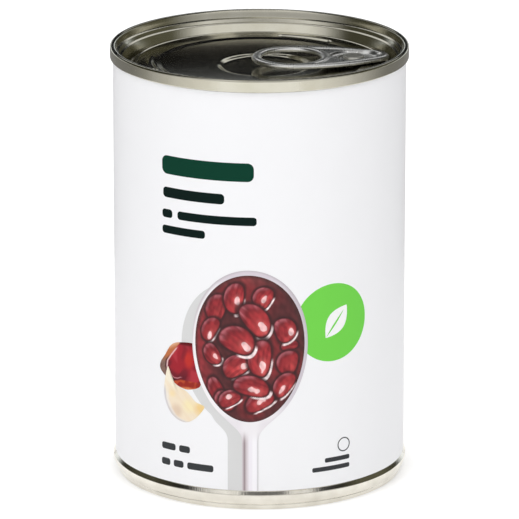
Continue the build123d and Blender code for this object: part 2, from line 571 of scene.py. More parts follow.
def end_line(sizes):
    """Outline of the end, (across, up, rounding): panel, dish step, annulus with
    its score line, countersink, chuck wall with its two ledges, seam, and back in
    underneath."""
    seam, top = sizes.seam_radius, sizes.height
    bottom, seat = top - sizes.seam_height, top - SEAT_DROP
    panel, annulus, sink = top - PANEL_DROP, top - ANNULUS_DROP, top - COUNTERSINK_DROP
    score = seam - 6.6
    return [
        (0, panel, 0),
        (seam - 13.1, panel, 1.0),
        (seam - 11.8, annulus, 1.0),
        (score - 0.25, annulus, 0.05),
        (score, annulus - 0.12, 0.05),
        (score + 0.25, annulus, 0.05),
        (seam - 5.7, annulus, 0.4),
        (seam - 5.2, sink, 0.3),
        (seam - 4.2, sink, 0.3),
        (seam - 3.1, top - 3.25, 0.13),
        (seam - 2.5, top - 3.0, 0.13),
        (seam - 2.15, top - 2.2, 0.1),
        (seam - 1.6, top - 1.95, 0.1),
        (seam - 1.25, top, 0.5),
        (seam, top, 0.55),
        (seam, bottom, 0.35),
        (seam - 1.75, bottom, 0),
        (seam - 1.75, seat, 0),
        (0, seat, 0),
    ]


def rivet_line(top):
    """Outline of the rivet, (across, up, rounding): the boss that the ring pull
    lies on, the stem through it and the head over it."""
    foot, boss_top, head_low, head_top = top - 5.1, top - 4.6, top - 4.1, top - 3.45
    stem, head = 1.6, 2.7
    return [
        (0, foot, 0),
        (3.3, foot, 0),
        (3.1, boss_top, 0.2),
        (stem, boss_top, 0.05),
        (stem, head_low, 0.05),
        (head, head_low, 0.08),
        (head, head_top, 0.4),
        (0, head_top, 0),
    ]


def along(length, side=0.0):
    """The place (x, y) that far out along the ring pull and to its left."""
    return np.array(spun(length, side, TAB_TURN))


def pressed(points, sizes):
    """The end with its pressed features: three raised arcs, each a round ridge
    about a circular centre line, and the finger well, a flat floor inside a
    smooth slope in a panel that dishes evenly, as 1 - (across / reach)^2. They
    change only the height of the panel and the annulus."""
    x, y, z = points[..., 0], points[..., 1], points[..., 2]
    across = np.hypot(x, y)
    turn = np.arctan2(y, x)
    upper = (z > sizes.height - PANEL_DROP - 0.2) & (across < sizes.seam_radius - PRESSED_INSET)
    lift = np.zeros_like(z)
    ring = sizes.seam_radius - ARC_INSET
    for index in range(ARC_COUNT):
        middle = TAB_TURN + pi + 2 * pi * index / ARC_COUNT
        off = (turn - middle + pi) % (2 * pi) - pi
        past = np.maximum(0, np.abs(off) - ARC_HALF_TURN) * ring
        gap = np.hypot(across - ring, past)
        ridge = np.clip(1 - (gap / ARC_HALF_WIDTH) ** 2, 0, 1)
        lift += sizes.bead_height * ridge**ARC_ROUNDING
    reach = sizes.seam_radius - DISH_INSET
    dish = sizes.dish_depth * np.clip(1 - (across / reach) ** 2, 0, 1)
    centre = along(WELL_PLACE)
    away = np.hypot(x - centre[0], y - centre[1])
    lift -= dish + (WELL_DEPTH - dish) * smooth((WELL_RADIUS - away) / WELL_SLOPE)
    moved = points.copy()
    moved[..., 2] = z + np.where(upper, lift, 0)
    return moved


class CAN_OT_end(bpy.types.Operator):
    """Builds the seamed end and its rivet"""

    bl_idname = "can.end"
    bl_label = "Can end"

    def execute(self, context):
        sizes = context.scene.can_sizes
        steel = steel_material(
            "lacquered end steel",
            (202, 199, 185),
            stain=(176, 172, 150),
            stain_share=0.3,
            low=0.1,
            high=0.17,
            bump=0.2,
        )
        # The panel and the inner annulus, which are pressed, get a finer mesh
        line = rounded(end_line(sizes), 7)
        inner = np.argmax(line[:, 0] > sizes.seam_radius - 6.9)
        fine = refined(line[: inner + 1], 0.35)
        rest = refined(line[inner:], 1.2)
        grid = turned(np.concatenate([fine, rest[1:]]), 400)
        piece("end_panel", [skin(pressed(grid, sizes))], steel, replaces=["lid"])
        rivet = turned(refined(rounded(rivet_line(sizes.height), 6), 0.5), 72)
        rivet[..., :2] += along(RIVET_PLACE)
        worn = steel_material(
            "drawn rivet steel",
            (205, 204, 196),
            stain=(176, 174, 162),
            stain_share=0.3,
            low=0.3,
            high=0.4,
            bump=0.05,
            metallic=0.9,
        )
        piece("rivet", [skin(rivet)], worn)
        return {"FINISHED"}


def pull_outline():
    """Outline of the ring pull (along, aside): a half circle round the ring, two
    shallow arcs that touch it and the nose, and the round nose."""
    ring_middle, nose_middle = PULL_END + RING, PULL_TIP - NOSE
    span = nose_middle - ring_middle
    side = (span**2 + RING**2 - NOSE**2) / (2 * (RING - NOSE))
    meet = np.arctan2(side - RING, span)
    parts = []
    for start, end, steps, middle, lift, radius in (
        (pi, pi / 2, 90, ring_middle, 0, RING),
        (pi / 2, meet, 120, ring_middle, RING - side, side),
        (meet, 0, 50, nose_middle, 0, NOSE),
    ):
        turn = np.linspace(start, end, steps)[1 if parts else 0 :]
        parts.append(np.stack([middle + radius * np.cos(turn), lift + radius * np.sin(turn)], 1))
    upper = np.concatenate(parts)
    return np.concatenate([upper, upper[-2:0:-1] * np.array([1, -1])])


def gap_to(points, line):
    """Distance of each point of a grid from a closed line of straight runs."""
    run = np.roll(line, -1, axis=0) - line
    gaps = np.empty(points.shape[:2])
    for column in range(points.shape[1]):
        off = points[:, column, None] - line[None]
        share = np.clip((off * run).sum(axis=2) / (run**2).sum(axis=1), 0, 1)
        gaps[:, column] = np.linalg.norm(off - share[..., None] * run, axis=2).min(axis=1)
    return gaps


def rail(gap):
    """Round curl of an edge: a circle's height, 0 at the edge, 1 at the middle of
    the rail and 0 again past it."""
    share = (np.minimum(gap, 2 * RAIL) - RAIL) / RAIL
    return np.sqrt(np.clip(1 - share**2, 0, 1))


def pull_top(place, outer_gap, inner_gap):
    """Height of the ring pull's top: curled rails along both edges, a web sunk
    between them, and a pocket that slopes down to a level island, cut by a round
    groove that is open towards the nose."""
    low, high = TAB_LOW.z, TAB_HIGH.z
    middle = (low + high) / 2
    web = np.where((outer_gap > RAIL) & (inner_gap > RAIL), 0.5, 0)
    curl = np.maximum(np.maximum(rail(outer_gap), rail(inner_gap)), web)
    up = middle + (high - middle) * curl
    out, side = place[..., 0] - RIVET_PLACE, place[..., 1]
    past = out + POCKET_BEHIND
    share = np.clip(past / POCKET_RUN, 0, 1)
    reach = POCKET_RADIUS - POCKET_NARROWING * share
    inside = reach - np.hypot(past - POCKET_RUN * share, side)
    floor = LID_HIGH.z - ISLAND_DROP
    pocket = high - (high - floor) * ease(inside, -0.2, 1.6)
    up = np.where(inside > 0, np.minimum(up, pocket), up)
    behind = np.abs(np.arctan2(side, -out)) < GROOVE_HALF_TURN
    groove = smooth(1.6 - np.abs(np.hypot(out, side) - GROOVE_RADIUS) / GROOVE_SLOPE) * behind
    return up - (floor - low - 0.1) * groove * (inside > 0)


class CAN_OT_ring_pull(bpy.types.Operator):
    """Builds the ring pull with its curled rails, finger hole and pocket"""

    bl_idname = "can.ring_pull"
    bl_label = "Ring pull"

    def execute(self, context):
        steel = steel_material(
            "bright rolled steel",
            (236, 236, 233),
            stain=(204, 206, 204),
            stain_share=0.2,
            low=0.24,
            high=0.34,
            bump=0.02,
        )
        outer = pull_outline()
        wide, deep = HOLE_HALF_LENGTH, RING - 2 * RAIL
        hole = np.array([PULL_END + 2 * RAIL + wide, 0])
        turn = np.arctan2((outer[:, 1] - hole[1]) / deep, (outer[:, 0] - hole[0]) / wide)
        inner = hole + np.stack([wide * np.cos(turn), deep * np.sin(turn)], axis=1)

        # Grids from the hole's edge to the outer edge, over the top and then back
        # underneath
        top_share = np.linspace(0, 1, 61)
        under_share = (1 - np.cos(np.linspace(0, pi, 21))) / 2
        low, middle = TAB_LOW.z, (TAB_LOW.z + TAB_HIGH.z) / 2
        halves = []
        for share in (top_share, under_share):
            flat = inner[:, None] + (outer - inner)[:, None] * share[None, :, None]
            outer_gap, inner_gap = gap_to(flat, outer), gap_to(flat, inner)
            outer_gap[:, -1] = 0
            inner_gap[:, 0] = 0
            if not halves:
                up = pull_top(flat, outer_gap, inner_gap)
                up[:, 0] = up[:, -1] = middle
            else:
                near = np.minimum(outer_gap, inner_gap)
                up = middle - (middle - low) * np.where(near > RAIL, 1, rail(near))
                flat, up = flat[:, ::-1], up[:, ::-1]
            halves.append(np.concatenate([flat, up[..., None]], axis=2))
        grid = np.concatenate([halves[0], halves[1][:, 1:]], axis=1)
        x, y = along(grid[..., 0], grid[..., 1])
        grid = np.stack([x, y, grid[..., 2]], axis=2)
        piece("ring_pull", [skin(grid)], steel, 50.0, replaces=["tab"])
        return {"FINISHED"}


# ------------------------------------------------------------------- label

LABEL_RADIUS = -LABEL_LOW.y
PAPER = 0.2

# Each layer of ink lies a step over the one below, and fills most of the step
INK_STEP = 0.012
INK_FILL = 0.9

# The lap at the back: its middle, how far the end lies over the start, and the
# slope beyond it
LAP_MIDDLE = radians(97)
LAP = 7.0
LAP_SLOPE = 0.8


def wrapped(across, up, lift):
    """A place on the label: across mm to the right of the front and up mm above
    the base, wrapped round the can's axis and lifted off the paper."""
    return about_axis(LABEL_RADIUS + lift, across / LABEL_RADIUS - pi / 2, up)


def there_and_back(front, back):
    """Shares from 0 to 1 over the front of an ink patch, and to 0 again behind it."""
    return np.concatenate([np.linspace(0, 1, front + 1), np.linspace(1, 0, back + 1)])


def ink_lift(layer, front, back):
    """Lift off the paper at those shares: the layer's top, and then its underside."""
    return np.repeat([layer * INK_STEP, (layer - INK_FILL) * INK_STEP], [front + 1, back + 1])


def ink(outline, layer, rings=12, back_rings=12, paint=None, centre=None):
    """A patch of ink: rings that shrink evenly from an outline (across, up) to its
    centre, on the front and again just behind it, so that the patch is closed."""
    outline = np.asarray(outline, float)
    centre = outline.mean(axis=0) if centre is None else np.asarray(centre, float)
    share = there_and_back(rings, back_rings)
    flat = centre + (outline[:, None] - centre) * share[None, :, None]
    points = wrapped(flat[..., 0], flat[..., 1], ink_lift(layer, rings, back_rings)[None])
    tone = None if paint is None else linear(paint(flat[..., 0], flat[..., 1]))
    return skin(points, colour=tone)


def strip(up, left, right, layer, columns=16, back_columns=6, paint=None):
    """A patch of ink between a left and a right edge, each a function of up given
    at the same levels: across = left + (right - left) * share, front and back."""
    share = there_and_back(columns, back_columns)
    across = left[None] + (right - left)[None] * share[:, None]
    level = up[None] + 0 * across
    lift = ink_lift(layer, columns, back_columns)[:, None] + 0 * across

    # A column at each end that is all one point, half way across and half way down
    # into the paper, closes the patch
    middle = (left + right) / 2
    ends = [across[:, :1] * 0 + middle[0], across, across[:, -1:] * 0 + middle[-1]]
    across = np.concatenate(ends, axis=1)
    level = np.concatenate([level[:, :1], level, level[:, -1:]], axis=1)
    end_lift = np.full((len(share), 1), (layer - INK_FILL / 2) * INK_STEP)
    lift = np.concatenate([end_lift, lift, end_lift], axis=1)
    points = wrapped(across, level, lift)
    tone = None if paint is None else linear(paint(across, level))
    return skin(points, colour=tone)


def bar(left, bottom, right, top, corner, steps=8):
    """Outline of a rounded bar, anticlockwise from its right side."""
    corner = min(corner, (right - left) / 2 - 0.001, (top - bottom) / 2 - 0.001)
    quarter = np.linspace(0, pi / 2, steps)
    round_x, round_y = corner * np.cos(quarter), corner * np.sin(quarter)
    ends = []
    for x, y, sx, sy in (
        (right - corner, top - corner, 1, 1),
        (left + corner, top - corner, -1, 1),
        (left + corner, bottom + corner, -1, -1),
        (right - corner, bottom + corner, 1, -1),
    ):
        arc = np.stack([x + sx * round_x, y + sy * round_y], axis=1)
        ends.append(arc if sx * sy > 0 else arc[::-1])
    return refined(np.concatenate(ends + [ends[0][:1]]), 0.8)[:-1]


class CAN_OT_label(bpy.types.Operator):
    """Builds the paper label, its end lapped over its start at the back"""

    bl_idname = "can.label"
    bl_label = "Paper label"

    def execute(self, context):
        paper = ink_material("coated white paper", (244, 244, 246), 0.02)
        bottom, top = LABEL_LOW.z, LABEL_HIGH.z
        start = LAP_MIDDLE - LAP / 2 / LABEL_RADIUS
        end = start + LAP / LABEL_RADIUS
        slope = LAP_SLOPE / LABEL_RADIUS
        even = np.linspace(0, 2 * pi, 481)[:-1]
        extra = np.array([start - 0.0004, start, end, end + slope])
        turn = np.sort(np.concatenate([even, extra]))[:, None]

        # Columns run up the inner face's lower edge, over the outer face, which the
        # lap lifts by its own thickness, and in at the top
        over = PAPER * ((turn >= start) * np.clip((end + slope - turn) / slope, 0, 1))
        up = refined(np.array([[0, bottom], [0, top]]), 6.0)[:, 1]
        out = np.concatenate([np.zeros(1), np.ones(len(up)), np.zeros(1)])[None]
        level = np.concatenate([[bottom], up, [top]])[None]
        across = LABEL_RADIUS - PAPER + out * (PAPER + over)
        grid = about_axis(across, turn, level)
        grid = np.concatenate([grid, grid[:, :1]], axis=1)
        piece("paper_label", [skin(grid)], paper, replaces=["label"])
        return {"FINISHED"}


# ------------------------------------------------------- picture on the label


WAVES = 6


def plain(across, colour):
    """One display colour at every point."""
    return np.zeros(across.shape + (3,)) + colour


def toned(tone, colour, share):
    """The tone moved towards a colour by a share from 0 to 1 at each point."""
    return tone + (np.asarray(colour, float) - tone) * np.asarray(share)[..., None]


def mottle(across, up, size, seed):
    """Smooth clouding from 0 to 1: a sum of sine waves whose directions and phases
    come from the seed, about one cloud for each size in mm."""
    draw = np.random.default_rng(seed)
    total = 0 * across
    for turn, phase in zip(draw.uniform(0, 2 * pi, WAVES), draw.uniform(0, 2 * pi, WAVES)):
        wave = 2 * pi / (size * draw.uniform(1.2, 2.8))
        total = total + np.sin(wave * (across * np.cos(turn) + up * np.sin(turn)) + phase)
    return np.clip(0.5 + total / WAVES, 0, 1)


# Spoon: the bowl's centre and half size, how much wider its top is than its
# bottom, and the handle's middle and half width
BOWL = (-2.6, 42.8)
BOWL_HALF = (14.1, 19.3)
BOWL_FLARE = 0.06
HANDLE_SHIFT = 0.25
HANDLE_MIDDLE = BOWL[0] + HANDLE_SHIFT
HANDLE_HALF = 2.05

# Neck: the levels between which the handle spreads and by how much, and the level
# over which there is only the bowl. Rim: how far the spoon reaches past the bowl
NECK = (17.5, 24.5)
NECK_SPREAD = 3.6
NECK_TOP = 30
SPOON_RIM = 0.85

# Beans in the spoon, from the back one to the front one: centre across and up,
# half length, half width, tilt in degrees, redness from 0 to 1, and the gleam's
# place along and to the left of the bean's axis
BEANS = (
    (-11.0, 53.3, 3.8, 2.7, 70, 0.35, None),
    (7.6, 43.6, 2.3, 1.3, 10, 0.25, None),
    (-10.9, 31.5, 3.8, 2.0, 118, 0.45, None),
    (-9.0, 28.8, 3.0, 2.3, 130, 0.3, None),
    (0.9, 56.3, 3.0, 2.5, 60, 0.65, (-0.1, -0.25)),
    (-6.3, 56.1, 4.1, 2.6, 82, 0.7, (-0.15, -0.35)),
    (6.4, 47.7, 3.3, 2.8, -70, 0.6, (0.3, 0.45)),
    (-12.6, 47.6, 3.4, 2.1, 62, 0.55, (-0.45, -0.35)),
    (-12.1, 41.0, 3.0, 2.1, 120, 0.35, (-0.3, -0.3)),
    (7.2, 39.1, 3.3, 2.8, 75, 0.6, None),
    (6.2, 33.3, 3.7, 2.3, 52, 0.75, (-0.35, -0.25)),
    (-1.1, 50.5, 5.0, 3.1, -52, 0.75, (0.55, 0.1)),
    (-6.0, 38.1, 3.7, 2.8, 30, 0.85, (0.55, -0.35)),
    (0.2, 40.4, 5.0, 3.0, 84, 0.8, (-0.4, -0.3)),
    (-5.7, 45.0, 4.8, 3.5, -24, 0.6, (0.6, -0.15)),
    (-7.7, 29.5, 3.1, 2.1, 30, 0.4, (0.1, 0.15)),
    (0.0, 28.9, 4.0, 2.3, 28, 0.45, (0.05, -0.1)),
    (-2.1, 32.9, 4.7, 2.7, -12, 0.5, (0.2, -0.35)),
)


def beans_in_sauce(across, up):
    """Display colours of the spoonful. The sauce is a dark brown red with clouding.
    Each bean is shaded as half an ellipsoid: its normal gives a broad light from
    the lower right, a pink sheen on the upper left edge, a pale gleam, and a
    pale crescent of sauce where it meets the bean's lower right."""
    # Sauce: clouds, a red left side and a pale top edge
    tone = plain(across, (72, 30, 32))
    tone = toned(tone, (128, 34, 38), 0.75 * ease(mottle(across, up, 9, 3), 0.45, 0.8))
    edge = np.hypot((across - BOWL[0]) / BOWL_HALF[0], (up - BOWL[1]) / BOWL_HALF[1])
    left = ease(-(across - BOWL[0]) / BOWL_HALF[0], 0.35, 0.95)
    tone = toned(tone, (146, 40, 46), 0.8 * left * ease(edge, 0.6, 0.85))
    tone = toned(tone, (150, 62, 62), 0.6 * ease(up, 58, 61.5) * ease(edge, 0.75, 0.95))
    for middle, level, long_half, short_half, tilt, red, gleam in BEANS:
        # Place on the bean, along and across it, with its sides bent a little
        turn = radians(tilt)
        along_it, aside = spun(across - middle, up - level, -turn)
        along_it = along_it / long_half
        bent = aside / short_half + 0.22 * (along_it**2 - 0.4)
        away = (np.abs(along_it) ** 2.2 + np.abs(bent) ** 2.2) ** (1 / 2.2)
        out_x, out_y = spun(along_it, bent, turn)
        lower_right = (0.62 * out_x - 0.78 * out_y) / np.maximum(away, 0.05)
        upper_left = -lower_right

        # Dark gap round the bean, and the pale crescent in it
        tone = toned(tone, (40, 20, 22), 0.85 * ease(-away, -1.3, -1.0))
        if gleam:
            rim = ease(-np.abs(away - 1.12), -0.1, -0.06) * ease(lower_right, 0.62, 0.84)
            tone = toned(tone, (252, 236, 236), 0.95 * rim)

        # Skin: its light and shade, sheen, streaks, gleam and dark edge
        body = plain(across, (118, 26, 32))
        body = toned(body, (168, 42, 46), red + 0 * away)
        facing = np.sqrt(np.clip(1 - away**2, 0, 1))
        light = 0.42 * out_x - 0.5 * out_y + 0.62 * facing
        body = toned(body, (76, 18, 24), 0.85 * ease(-light, -0.5, 0.2))
        body = toned(body, (206, 72, 68), (0.2 + 0.45 * red) * ease(light, 0.5, 0.95))
        sheen = ease(away, 0.5, 0.86) * ease(-away, -1.0, -0.93) * ease(upper_left, 0.2, 0.8)
        body = toned(body, (206, 116, 126), 0.65 * sheen)
        streak = mottle(along_it * 3, bent * 9, 2.4, int(level * 10))
        body = toned(body, (104, 18, 26), 0.5 * ease(streak, 0.45, 0.85))
        if gleam:
            near = np.hypot((along_it - gleam[0]) / 0.34, (bent - gleam[1]) / 0.27)
            near = near + 0.5 * (mottle(across, up, 1.1, int(level)) - 0.5)
            body = toned(body, (255, 250, 252), ease(-near, -1.0, -0.8))
            second = np.hypot((along_it - gleam[0]) / 0.62, (bent - gleam[1]) / 0.5)
            body = toned(body, (232, 128, 124), 0.45 * ease(-second, -1.0, -0.3))
        body = toned(body, (56, 18, 22), 0.85 * ease(away, 0.88, 1.0))
        tone = toned(tone, body, ease(-away, -1.03, -0.97))

    # Shade inside the bowl's rim, print specks, and a thin pale veil over all that is painted
    # reflection, standing in for the gloss of the coated paper
    tone = toned(tone, (58, 34, 34), 0.75 * ease(edge, 0.93, 1.0))
    speck = mottle(across, up, 0.9, 21) + mottle(across, up, 1.7, 22) - 1
    tone = tone * (1 + 0.16 * speck[..., None])
    # Painted reflection: a pale veil that lifts the dark inks as the paper's gloss would
    tone = toned(tone, (214, 186, 188), 0.11 + 0 * across)
    return np.clip(tone, 0, 255)


def spoon_paint(across, up):
    """Display colours of the white spoon: bright on the bowl's left rim, lilac grey
    on its top and right rim, and a handle that goes from a dark left edge to a
    bright middle and a grey right edge."""
    tone = plain(across, (240, 237, 240))
    side = (across - BOWL[0]) / BOWL_HALF[0]
    rise = (up - BOWL[1]) / BOWL_HALF[1]
    edge = np.hypot(side, rise)
    tone = toned(tone, (208, 200, 208), ease(side, 0.2, 0.9) * ease(up, 22, 30))
    tone = toned(tone, (214, 206, 214), ease(rise, 0.75, 1.0))
    tone = toned(tone, (245, 241, 243), ease(-side, 0.3, 0.8) * ease(-rise, -0.8, -0.3))
    tone = toned(tone, (186, 178, 184), 0.7 * ease(edge, 1.035, 1.075) * ease(up, 22, 27))
    handle = ease(-up, -21.5, -17.5)
    place = (across - HANDLE_MIDDLE) / HANDLE_HALF
    grip = plain(across, (206, 196, 200))
    grip = toned(grip, (160, 146, 150), ease(-np.abs(place + 0.72), -0.2, -0.04))
    grip = toned(grip, (240, 236, 242), ease(place, -0.55, -0.05))
    grip = toned(grip, (247, 245, 249), ease(place, 0.1, 0.4))
    grip = toned(grip, (206, 203, 206), ease(place, 0.74, 0.98))
    tone = toned(tone, grip, handle)
    neck = ease(up, 18, 20) * ease(-up, -25.5, -23)
    tone = toned(tone, (228, 222, 228), 0.5 * neck * ease(np.abs(place), 0.6, 1.6))
    return np.clip(tone, 0, 255)


# Inner lines of the dried tomato and the garlic in mm on the label: the fold is
# given as (across, up), and the two edges as (up, across)
TOMATO_FOLD = (
    (-25.0, 35.4),
    (-24.5, 34.3),
    (-23.1, 33.2),
    (-22.0, 33.2),
    (-21.1, 33.6),
    (-16.0, 33.4),
)
TOMATO_SKIN_EDGE = (
    (33.0, -24.9),
    (34.5, -25.0),
    (36.0, -25.3),
    (37.4, -25.1),
    (39.1, -23.9),
    (41.1, -22.3),
    (42.6, -21.0),
)
CLOVE_LEFT_EDGE = (
    (22.0, -20.0),
    (22.6, -22.4),
    (23.3, -23.7),
    (25.0, -25.1),
    (27.4, -26.1),
    (30.1, -26.3),
    (34.1, -25.6),
)


def on_line(value, line):
    """Where a line of straight runs through pairs (value, result) is at a value."""
    values, results = zip(*line)
    return np.interp(value, values, results)


def stripe(off, low, high):
    """A line drawn where off is 0: 1 on it, and 0 beyond high, fading from low."""
    return ease(-np.abs(off), -high, -low)


def dried_tomato(across, up):
    """Display colours of a piece of dried tomato: a crimson lobe with an orange
    patch, a brown skin on its left behind a pale line, and a rust lower edge."""
    # Lobe: streaks, the patch, deep red clouds, and a dark left and top
    tone = plain(across, (160, 36, 48))
    streak = mottle(across * 2 + up, up * 0.8, 3.2, 5)
    tone = toned(tone, (188, 62, 72), 0.6 * ease(streak, 0.5, 0.85))
    patch = np.hypot((across + 18.6) / 1.9, (up - 38.6) / 3.2)
    tone = toned(tone, (202, 56, 44), 0.75 * ease(-patch, -1.0, -0.3))
    tone = toned(tone, (96, 30, 42), 0.6 * ease(mottle(across, up, 3, 8), 0.5, 0.85))
    deep = np.hypot((across + 21.0) / 5.4, (up - 38.6) / 5.2)
    tone = toned(tone, (92, 28, 40), 0.7 * ease(deep, 0.68, 1.0) * ease(-across, 17.5, 20))
    tone = toned(tone, (96, 20, 26), ease(up, 42.0, 42.6))

    # Rust edge below the fold, with a dark and a pale line along the fold
    over_fold = up - on_line(across, TOMATO_FOLD)
    rust = plain(across, (150, 44, 34))
    rust = toned(rust, (196, 84, 48), 0.8 * ease(mottle(across, up, 1.3, 13), 0.35, 0.75))
    hem = -up - 0.06 * (across + 18.7) ** 2
    rust = toned(rust, (222, 148, 96), 0.7 * ease(hem, -31.6, -31.0))
    tone = toned(tone, rust, ease(-over_fold, 0.3, 0.9))
    dark = 0.9 * stripe(over_fold + 0.45, 0.15, 0.45) * ease(-across, 22.0, 23.4)
    tone = toned(tone, (46, 16, 20), dark)
    rim = stripe(over_fold, 0.08, 0.24) * ease(-across, 20.2, 21.4)
    tone = toned(tone, (212, 150, 154), 0.75 * rim)

    # Skin on the left of its edge, with a dark and a pale line along the edge
    past_edge = across - on_line(up, TOMATO_SKIN_EDGE)
    brown = plain(across, (132, 104, 94))
    brown = toned(brown, (190, 112, 70), ease(up, 36.5, 39.0))
    brown = toned(brown, (228, 184, 152), ease(up - 0.5 * (across + 23), 40.8, 42.6))
    grain = mottle(across, up, 0.8, 15)
    brown = toned(brown, (104, 74, 66), 0.5 * ease(grain, 0.5, 0.8) * ease(-up, -39, -36))
    tone = toned(tone, brown, ease(-past_edge, 0.15, 0.4))
    dark = 0.7 * stripe(past_edge + 0.45, 0.1, 0.3) * ease(-up, -39.5, -37.5)
    tone = toned(tone, (58, 24, 24), dark)
    line = stripe(past_edge, 0.12, 0.3) * ease(up, 35.0, 36.0) * ease(-up, -41.8, -40.8)
    tone = toned(tone, (240, 210, 208), 0.9 * line)
    return np.clip(tone, 0, 255)


def garlic_clove(across, up):
    """Display colours of a garlic clove: cream, with a grey outline and a pale
    band on its left, beige below and golden to the right."""
    tone = plain(across, (243, 227, 202))
    tone = toned(tone, (250, 242, 222), 0.7 * ease(up - 0.2 * (across + 24), 29, 32.5))
    for middle, level, reach, colour, share in (
        (-22.3, 24.6, 2.6, (224, 200, 176), 0.9),
        (-23.6, 29.0, 1.5, (246, 222, 168), 0.7),
        (-18.5, 26.4, 2.8, (247, 232, 186), 0.9),
        (-15.4, 25.9, 2.6, (238, 204, 138), 0.95),
    ):
        away = np.hypot(across - middle, up - level) / reach
        tone = toned(tone, colour, share * ease(-away, -1.0, -0.2))
    streak = mottle(across + up, across * 0.2, 1.4, 11)
    tone = toned(tone, (238, 216, 184), 0.3 * ease(streak, 0.5, 0.8))
    inside = across - on_line(up, CLOVE_LEFT_EDGE)
    tone = toned(tone, (240, 234, 228), 0.8 * ease(-inside, -1.7, -1.0) * ease(-up, -30.5, -28))
    tone = toned(tone, (212, 208, 212), 0.9 * ease(-inside, -0.75, -0.35) * ease(-up, -31.5, -29))
    low = np.hypot((across + 19.4) / 6.2, (up - 28.6) / 6.8)
    tone = toned(tone, (214, 204, 200), 0.7 * ease(low, 0.9, 1.0) * ease(-up, -26, -24.5))
    return np.clip(tone, 0, 255)


def egg(centre, half, narrowing, steps):
    """Outline of an oval whose width shrinks towards its bottom: across = half
    width * cos(turn) * (1 + narrowing * sin(turn)), up = half height * sin(turn)."""
    turn = np.linspace(0, 2 * pi, steps, endpoint=False)
    wide = half[0] * np.cos(turn) * (1 + narrowing * np.sin(turn))
    return np.stack([centre[0] + wide, centre[1] + half[1] * np.sin(turn)], axis=1)


def through(corners, steps):
    """A closed smooth outline through corners: a cubic from each corner to the
    next whose slopes are half the way from the corner before to the one after."""
    corner = np.asarray(corners, float)
    before, after = np.roll(corner, 1, axis=0), np.roll(corner, -1, axis=0)
    later = np.roll(corner, -2, axis=0)
    share = np.linspace(0, 1, steps, endpoint=False)[None, :, None]
    start, end = corner[:, None], after[:, None]
    rise, fall = (after - before)[:, None] / 2, (later - corner)[:, None] / 2
    path = (
        start * (2 * share**3 - 3 * share**2 + 1)
        + rise * (share**3 - 2 * share**2 + share)
        + end * (3 * share**2 - 2 * share**3)
        + fall * (share**3 - share**2)
    )
    return path.reshape(-1, 2)


def spoon_edges(grow, drop=0.0):
    """Levels down the spoon with its left and right edges: the bowl's oval, a neck
    that narrows smoothly, and a straight handle down to the label's edge. Bowl and
    handle are joined by a smooth maximum, the tenth root of the sum of their tenth
    powers. grow widens the bowl, and drop lowers its top and keeps its bottom."""
    foot = LABEL_LOW.z + 0.02
    middle, reach = BOWL[1] - drop, BOWL_HALF[1] + 1.5 * grow - drop
    bowl = middle + reach * np.cos(np.linspace(0, pi, 90)[:78])
    up = np.concatenate([bowl, np.linspace(bowl[-1], foot, 46)[1:]])
    rise = np.clip((up - middle) / reach, -1, 1)
    half = (BOWL_HALF[0] + grow) * np.sqrt(1 - rise**2) * (1 + BOWL_FLARE * rise)
    handle = HANDLE_HALF + NECK_SPREAD * ease(up, *NECK) ** 2
    half = np.where(up < NECK_TOP, (half**10 + handle**10) ** 0.1, half)
    half[0] = 0.01
    centre = BOWL[0] + HANDLE_SHIFT * ease(-up, -24, -19)
    return up, centre - half, centre + half


def leaf(centre, length, width, tilt, steps=40):
    """Outline of a pointed leaf: at a share t of its length, its half width is
    width / 2 * sin(pi * t) ** 0.9."""
    share = np.linspace(0, 1, steps)
    half = width / 2 * np.sin(pi * share) ** 0.9
    along_it = (share - 0.5) * length
    side = np.concatenate([half, -half[-2:0:-1]])
    run = np.concatenate([along_it, along_it[-2:0:-1]])
    return centre + np.stack(spun(run, side, radians(tilt)), axis=1)


def ring_ink(centre, radius, width, layer, steps=72):
    """A closed ring of ink, a small rectangle carried round a circle."""
    turn = np.linspace(0, 2 * pi, steps, endpoint=False)[:, None]
    out = np.array([0, width, width, 0, 0]) + radius - width / 2
    lift = (layer - np.array([0, 0, INK_FILL, INK_FILL, 0])) * INK_STEP
    across = centre[0] + out * np.cos(turn)
    up = centre[1] + out * np.sin(turn)
    return skin(wrapped(across, up, lift[None, :] + 0 * across))


# Bars in the place of words: left, bottom, right, top and corner in mm on the label
TITLE = (-26.6, 86.4, -1.4, 91.2, 1.6)
SUBTITLES = (
    (-26.3, 80.3, -8.9, 83.0, 1.0),
    (-26.6, 75.0, -23.4, 77.2, 0.8),
    (-21.8, 75.0, -0.7, 77.2, 0.8),
    (-26.6, 70.9, -14.0, 73.0, 0.8),
)
SMALL_BARS = (
    (-27.1, 13.7, -22.7, 15.5, 0.6),
    (-21.6, 13.7, -18.4, 15.5, 0.6),
    (-27.2, 9.5, -24.4, 11.3, 0.6),
    (-23.3, 9.5, -20.3, 11.3, 0.6),
    (-19.2, 9.5, -11.9, 11.3, 0.6),
    (17.2, 11.4, 24.6, 12.6, 0.4),
    (13.7, 9.2, 24.6, 10.4, 0.4),
)

